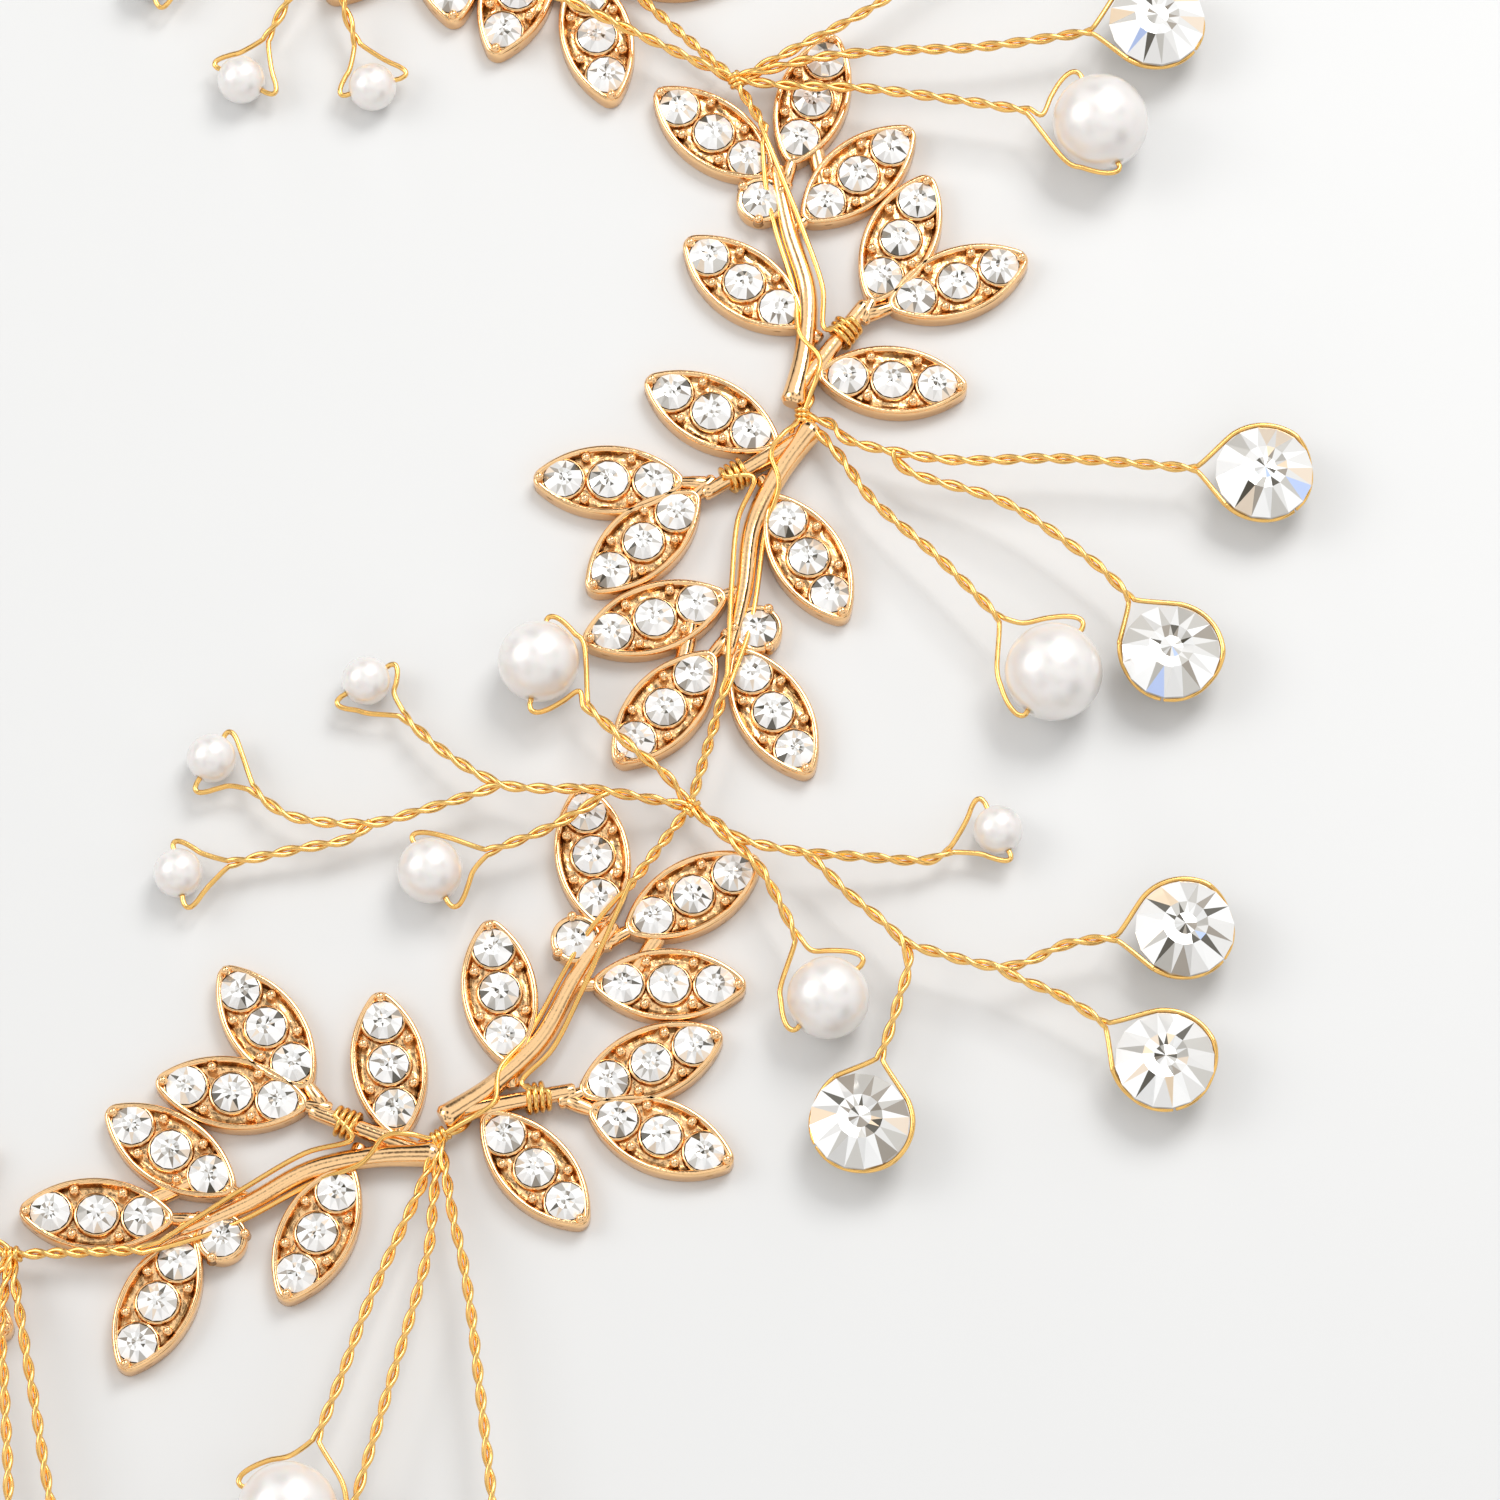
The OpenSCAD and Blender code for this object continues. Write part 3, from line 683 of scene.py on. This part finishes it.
WIRE_PALE, WIRE_DEEP = (0.98, 0.63, 0.22), (0.94, 0.54, 0.15)
WIRE_POLISH, WIRE_DRAWN = 0.14, 0.12
wire_gold, shade, surface = material("plated_wire", {"Metallic": 1.0})
drawn = shade.noise(1.5)
shade.put(surface.inputs["Base Color"], shade.blended(shade.noise(0.25), WIRE_PALE, WIRE_DEEP))
shade.put(surface.inputs["Roughness"], WIRE_POLISH + drawn * WIRE_DRAWN)
shade.put(surface.inputs["Normal"], shade.bumps(drawn, depth=0.02, strength=0.4))

branch_start, branch_end = BRANCH_AXIS
along = (branch_end - branch_start).normalized()
level = Vector((-along.y, along.x, 0))
coil = []
for i in range(round(COIL_TURNS * COIL_STEPS) + 1):
    turn = i / COIL_STEPS
    a = math.radians(-90 - 360 * turn)
    centre = branch_start + (COIL_FROM + COIL_PITCH * turn) * along
    coil.append(centre + COIL_R * (math.cos(a) * level + Vector((0, 0, math.sin(a)))))
coil_to_fork = smooth([coil[-1], *COIL_TO_FORK], steps=8)[1:]

for s in range(SPRAYS):
    wires = Shell()
    place = spray_place(s)
    k, direction = SPRAY_AT[s][:2]
    stem_knot = place.inverted() @ knot_centre(k)
    if s in ENDS:
        tip_knot = SWIVEL
    else:
        tip_knot = place.inverted() @ knot_centre(k - direction)
    level_side = (tip_knot - FORK).cross(Vector((0, 0, 1))).normalized()
    pair = twisted([FORK, FORK.lerp(tip_knot, 0.5), tip_knot], LINK_PITCH, level_side)
    knot_to_coil = smooth([stem_knot, *UNDER_STEM, coil[0]], steps=6)[:-1]
    strand(wires, knot_to_coil + coil + coil_to_fork + pair[0])
    strand(wires, smooth([stem_knot, *KNOT_TO_FORK], steps=8) + pair[1])
    show(wires.mesh(f"binding_{s + 1}", wire_gold), f"binding_wires_{s + 1}",
         f"spray_{s + 1}", f"binding_wire_{s + 1}", place)

# Sprigs -----------------------------------------------------------------------
# Every junction carries a sprig of twigs, twisted from the same gold wire. The
# strands open into a loop through each pearl, and close round each crystal. The
# knot at a sprig's root is a few tight wraps over the link wires.

PEARL, CRYSTAL = "pearl", "crystal"
STEM_FAN = [
    # what it carries, that one's size and middle, and the twig's route to it
    (CRYSTAL, 6, (28.2, -5.2), [(1.8, -0.9, 1.6), (3.2, -2.4, 2.2), (9.1, -3.9, 2.8),
                                (15.8, -4, 2.9)]),
    (CRYSTAL, 6, (22, -16.8), [(6.7, -4.6, 2.4), (12.2, -6.8, 2.9), (17, -10.4, 2.9),
                               (19.2, -12.6, 2.8)]),
    (PEARL, 6, (14.8, -18), [(2.2, -3.1, 1.9), (4.2, -6.4, 2.5), (8, -10.3, 2.9)]),
]
STEM_FAN_WIDE = [
    (CRYSTAL, 6, (29.4, -14.9), [(2.5, -1.2, 1.9), (5, -2.4, 2.4), (8.8, -4, 2.7),
                                 (15.1, -7.3, 2.9), (22, -11, 2.9)]),
    (CRYSTAL, 6, (21.4, -23.2), [(3.6, -2.9, 2.2), (6.4, -5.3, 2.6), (12.4, -12.4, 2.9),
                                 (16.2, -17, 2.9)]),
    (PEARL, 6, (14.5, -20.6), [(2.2, -2.8, 1.9), (3.6, -4.9, 2.4), (6.6, -9.5, 2.9),
                               (9.4, -13.3, 3)]),
]
CENTRE_TREE = [
    (PEARL, 3, (17.2, 7.4), [(2.2, -0.4, 2.2), (4.1, -0.7, 2.6), (7.7, 0.2, 2.9),
                             (11, 1.8, 2.4), (14.2, 3.5, 1.7)]),
    (CRYSTAL, 6, (18.5, -13.3), [(9.3, -0.2, 2.9), (11, -0.8, 2.9), (15.9, -2.3, 2.9),
                                 (17.1, -5.6, 2.9)]),
    (CRYSTAL, 6, (30.2, 6.6), [(16.9, -1.9, 2.9), (21.8, -0.6, 2.9), (24.4, 2.4, 2.9)]),
    (CRYSTAL, 6, (32.9, -1.4), [(22.9, -0.9, 2.9), (25.7, -0.7, 2.9)]),
    (PEARL, 5, (13.2, -7.2), [(5.1, -1.6, 2.7), (7.2, -2.8, 2.7)]),
    (PEARL, 5, (-12.4, 3.7), [(-2, 0.8, 2.4), (-4.5, 1.3, 2.8), (-6.6, 1.9, 2.7)]),
    (PEARL, 3, (-21.3, -2), [(-2.5, -1.1, 2.5), (-5.5, -2.2, 2.9), (-8.5, -3.7, 2.9),
                             (-11, -4.4, 2.5), (-14.8, -4, 2)]),
    (PEARL, 3, (-27.2, -10.8), [(-11.7, -5.5, 2.3), (-14, -7.9, 2.3), (-16.7, -10.3, 2.2),
                                (-21, -11.9, 1.8)]),
    (PEARL, 3, (-25.4, -18.2), [(-17.3, -11.7, 2), (-19.6, -13.5, 1.8)]),
    (PEARL, 4, (-11.9, -11.1), [(-5.4, -3.5, 2.8), (-6.9, -5.8, 2.7)]),
]
TIP_FAN = [
    (CRYSTAL, 6, (26, 3.2), [(3.6, -0.1, 2.5), (9.4, 0.2, 2.9), (16, 1.5, 2.9)]),
    (CRYSTAL, 6, (25.3, -8.3), [(4.6, -1.2, 2.7), (9, -2.8, 2.9), (14.7, -5.2, 2.9)]),
    (PEARL, 6, (19, -13), [(3, -2.3, 2.4), (6.5, -4.4, 2.9), (11, -7.4, 3)]),
]
TIP_FAN_NARROW = [
    (CRYSTAL, 6, (26.4, 4.2), [(3.6, 0.2, 2.5), (9.4, 0.6, 2.9), (17.1, 1.2, 2.9)]),
    (CRYSTAL, 6, (26.8, -4.2), [(4.2, -0.9, 2.7), (9, -1.1, 2.9), (16.7, -1.6, 2.9)]),
    (PEARL, 6, (24, -11), [(3, -2, 2.4), (6.5, -2.6, 2.9), (14, -3.7, 3)]),
]
INNER_TREE = [
    (PEARL, 3, (-20.7, 9.4), [(-3, 3.2, 2.7), (-8, 9.5, 3.2), (-13, 15.5, 3.2),
                              (-16.5, 18.3, 3), (-19, 17.6, 2.8), (-20, 15.2, 2.3)]),
    (PEARL, 3, (-27.9, 13.4), [(-17.6, 19.4, 3), (-20.5, 18.8, 2.6), (-23, 16.9, 2.1)]),
    (PEARL, 3, (-30.2, 22.4), [(-21.5, 20, 2.5), (-24.3, 21.4, 1.9)]),
]
INNER_TREE_TURNED = [(kind, size, (x, -y), [(a, -b, c) for a, b, c in route])
                     for kind, size, (x, y), route in INNER_TREE]
SPRIGS = [
    STEM_FAN, TIP_FAN + INNER_TREE, STEM_FAN, CENTRE_TREE, STEM_FAN_WIDE,
    TIP_FAN_NARROW + INNER_TREE_TURNED, STEM_FAN_WIDE,
]
CRYSTAL_R = 3.0
CRYSTAL_BOTTOM_Z = 0.05
CRYSTAL_GIRDLE_H = 0.24
CRYSTAL_GIRDLE_Z = CRYSTAL_BOTTOM_Z + 0.43 * 2 * CRYSTAL_R + CRYSTAL_GIRDLE_H / 2
RING_R = CRYSTAL_R + STRAND_R + 0.02
RING_STEPS = 15
SPLIT_FROM_RING = 0.9
RING_STRANDS = [(-1, 3.9, 2.2), (1, 2.3, 0.7)]  # side, where it ends and where it sinks, radians
SINK_IN, SINK_DOWN, SINK_OVER = 0.3, 0.5, 0.7
LOOP_REACH = 1.6
LOOP_TURNS = [
    # angle from the twig to the bore, and how far out from the pearl
    (28, 0.55), (50, 0.42), (68, 0.56), (80, 0.68), (87, 0.60),
]
LOOP_BULGES = [1.2, 0.8]
ELBOW_OUT, MOUTH_OUT, BORE_IN = 0.32, 0.05, 0.5
FORK_REACH = 1.6  # a twig forks off an older one about this far before its own route
HUB_REACH = 5.5  # a twig whose route starts this near the hub grows from the knot
KNOT_R = 0.36
KNOT_TURNS = 3
KNOT_STEPS = 16
KNOT_STEP = 0.021


def middle_of(twig):
    """The middle of what a twig carries: a pearl lies on the table, a crystal on its point."""
    kind, size, (x, y), _ = twig
    return Vector((x, y, size / 2 if kind == PEARL else CRYSTAL_GIRDLE_Z))


def ring_round(shell, pair, middle, back):
    """Carries the two strands of a twig along a crystal's girdle, until they sink under it."""
    meet = math.acos(RING_R / (RING_R + SPLIT_FROM_RING))
    start = math.atan2(back.y, back.x)
    for line, (side, reach, level_until) in zip(pair, RING_STRANDS):
        turns = []
        for i in range(RING_STEPS + 1):
            a = meet + (reach - meet) * i / RING_STEPS
            sunk = min(1, max(0, (a - level_until) / SINK_OVER))
            r = RING_R - SINK_IN * sunk
            x, y = r * math.cos(start + side * a), r * math.sin(start + side * a)
            turns.append(middle + Vector((x, y, -SINK_DOWN * sunk)))
        strand(shell, onwards(line, turns))


def loop_through(shell, pair, middle, r, bore, back):
    """Opens the two strands of a twig into a loop and into both ends of a pearl's bore."""
    inward = (back - back.dot(bore) * bore).normalized()
    for line, side, bulge in zip(pair, (bore, -bore), LOOP_BULGES):
        turns = []
        for degrees, out in LOOP_TURNS:
            a = math.radians(degrees)
            turns.append(middle + (r + bulge * out) * (math.cos(a) * inward + math.sin(a) * side))
        turns += [middle + (r + ELBOW_OUT * bulge) * side, middle + (r + MOUTH_OUT) * side,
                  middle + (r - BORE_IN) * side]
        strand(shell, onwards(line, turns))


def knot(shell, centre, axis):
    """A few tight wraps of one strand, with its ends tucked in."""
    across = axis.cross(Vector((0, 0, 1))).normalized()
    over = across.cross(axis)
    wraps = []
    for i in range(KNOT_TURNS * KNOT_STEPS + 1):
        a = 2 * math.pi * i / KNOT_STEPS
        run = (i - KNOT_TURNS * KNOT_STEPS / 2) * KNOT_STEP
        wraps.append(centre + KNOT_R * (math.cos(a) * across + math.sin(a) * over) + axis * run)
    strand(shell, [centre, *wraps, centre])


for k, twigs in enumerate(SPRIGS):
    wires = Shell()
    place = junction_place(k)
    hub = Vector((0, 0, KNOT_Z[k % 2]))
    grown = [hub]
    pearl_number = 0
    for twig in twigs:
        kind, size, _, route = twig
        route = [Vector(p) for p in route]
        middle = middle_of(twig)
        back = route[-1] - middle
        back = Vector((back.x, back.y, 0)).normalized()
        r = size / 2
        before = route[0] - FORK_REACH * (route[1] - route[0]).normalized()
        root = min(grown, key=lambda p: (p - before).length)
        if (route[0] - hub).length < HUB_REACH:
            root = hub
        reach = r + LOOP_REACH if kind == PEARL else RING_R + SPLIT_FROM_RING
        tip = middle + reach * back
        side = back.cross(Vector((0, 0, 1)))
        pair = twisted([root, *route, tip], TWIST_PITCH, side)
        grown += [(a + b) / 2 for a, b in zip(*pair)]
        if kind == CRYSTAL:
            ring_round(wires, pair, middle, back)
        else:
            pearl_number += 1
            joint = joints[f"pearl_{k + 1}_{pearl_number}_turn"]
            bore = (place.inverted().to_3x3() @ Vector(joint["axis"])).normalized()
            if bore.dot(side) < 0:
                bore = -bore
            loop_through(wires, pair, middle, r, bore, back)
    knot(wires, hub, Vector((0, 1, 0)))
    show(wires.mesh(f"sprig_{k + 1}", wire_gold), f"sprig_twigs_{k + 1}", f"sprig_{k + 1}",
         f"sprig_wire_{k + 1}", place)

# Crystals ---------------------------------------------------------------------
# Cut crystals of 6 mm with foiled backs, table up, held by the strands of their twig
# round the girdle. Each is big enough to show its star of facets, coloured with painted
# reflections and painted glints of blue and peach.

CRYSTAL_CUT = {
    "r": CRYSTAL_R, "bottom_z": CRYSTAL_BOTTOM_Z,
    "girdle_z": CRYSTAL_GIRDLE_Z - CRYSTAL_GIRDLE_H / 2, "girdle_h": CRYSTAL_GIRDLE_H,
    "table_z": CRYSTAL_GIRDLE_Z + 1.14, "table_share": 0.46, "sides": 16,
    # the painted facet reflections, with painted glints of blue and peach
    "facet_reflections": PAINTED_FACET_REFLECTIONS + [(0.50, 0.62, 0.95), (1.0, 0.80, 0.58)],
    "crown_odds": [28, 28, 20, 9, 4, 6, 2, 3], "star_odds": [30, 28, 20, 10, 2, 7, 1, 2],
}

for k, twigs in enumerate(SPRIGS):
    stones = Shell()
    facets = random.Random(200 + k)
    for twig in twigs:
        if twig[0] == CRYSTAL:
            seat = Matrix.Translation((*middle_of(twig).xy, 0)) @ turned(facets.uniform(0, 360))
            cut_stone(stones, seat, facets, **CRYSTAL_CUT)
    show(stones.mesh(f"crystals_{k + 1}", foiled, rounded=False), f"crystal_set_{k + 1}",
         f"sprig_{k + 1}", f"crystals_{k + 1}", junction_place(k))

# Pearls -----------------------------------------------------------------------
# Round imitation pearls of 3 to 6 mm: a clear-coated ivory lustre over a core. Each
# turns on the wire in its bore, which is cut in from both ends as deep as it shows.

BORE_R = STRAND_R + 0.06
BORE_END = 0.4  # of the pearl's radius, from its middle
PEARL_BANDS = 26
PEARL_SIDES = 40
PEARL_SHADE, PEARL_SHEEN = (0.84, 0.81, 0.775), (0.89, 0.855, 0.835)
LUSTRE, CLOUDY = 0.32, 0.12

lustre, shade, surface = material("pearl_lustre", {
    "Roughness": 0.38, "Coat Weight": 1.0, "Coat Roughness": 0.20,
    "Subsurface Weight": 0.15, "Subsurface Scale": 0.0008,
})
cloud = shade.noise(0.35)
shade.put(surface.inputs["Base Color"], shade.blended(cloud, PEARL_SHADE, PEARL_SHEEN))
shade.put(surface.inputs["Metallic"], LUSTRE + cloud * CLOUDY)

for k, twigs in enumerate(SPRIGS):
    for n in range(sum(twig[0] == PEARL for twig in twigs)):
        node = f"pearl_{k + 1}_{n + 1}"
        joint = joints[node + "_turn"]
        low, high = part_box(node)
        r = (high.z - low.z) * MM / 2
        pearl = Shell()
        edge = math.asin(BORE_R / r)
        arc = [edge + (math.pi - 2 * edge) * i / PEARL_BANDS for i in range(PEARL_BANDS + 1)]
        profile = [(BORE_R, -BORE_END * r)]
        profile += [(r * math.sin(a), -r * math.cos(a)) for a in arc]
        profile += [(BORE_R, BORE_END * r)]
        pearl.lathe(profile, PEARL_SIDES)
        aim = Vector(joint["axis"]).to_track_quat("Z", "Y").to_matrix().to_4x4()
        place = Matrix.Translation(Vector(joint["pos_m"]) * MM) @ aim
        show(pearl.mesh(node, lustre), f"pearl_bead_{k + 1}_{n + 1}", node, node, place)

# End loops --------------------------------------------------------------------
# Each free end of the vine carries an eye for a hair pin or a ribbon, twisted from the
# same wire. Its neck is knotted loosely over the end of the last link, so that it swings.

EYE_R = 3.35
EYE_CENTRE = Vector((31.8, 4.2, 0.5))
EYE_STEPS = 48
EYE_TWISTS = 7
EYE_SINK = 0.15
NECK_BEND = 2.5
SPLIT_FROM_EYE = 0.4

for s in ENDS:
    node = f"end_loop_{s + 1}"
    wires = Shell()
    below = Vector((SWIVEL.x, SWIVEL.y, EYE_CENTRE.z))
    along = (EYE_CENTRE - below).normalized()
    across = Vector((-along.y, along.x, 0))
    split = EYE_CENTRE - (EYE_R + SPLIT_FROM_EYE) * along
    neck = [SWIVEL, 0.5 * (SWIVEL + below) + NECK_BEND * along, split]
    pair = twisted(neck, TWIST_PITCH, across)
    knot(wires, SWIVEL, along)
    for line, side in zip(pair, (-1, 1)):
        turns = []
        for i in range(1, EYE_STEPS - 2):
            a = math.pi + 2 * math.pi * i / EYE_STEPS
            radial = math.cos(a) * along + side * math.sin(a) * across
            twist = side * EYE_TWISTS * a + (0 if side > 0 else math.pi)
            out = EYE_R + TWIST_OFFSET * math.cos(twist)
            up = TWIST_OFFSET * math.sin(twist) - EYE_SINK
            turns.append(EYE_CENTRE + out * radial + Vector((0, 0, up)))
        strand(wires, onwards(line, turns))
    show(wires.mesh(node, wire_gold), f"end_eye_{s + 1}", node, node, spray_place(s))
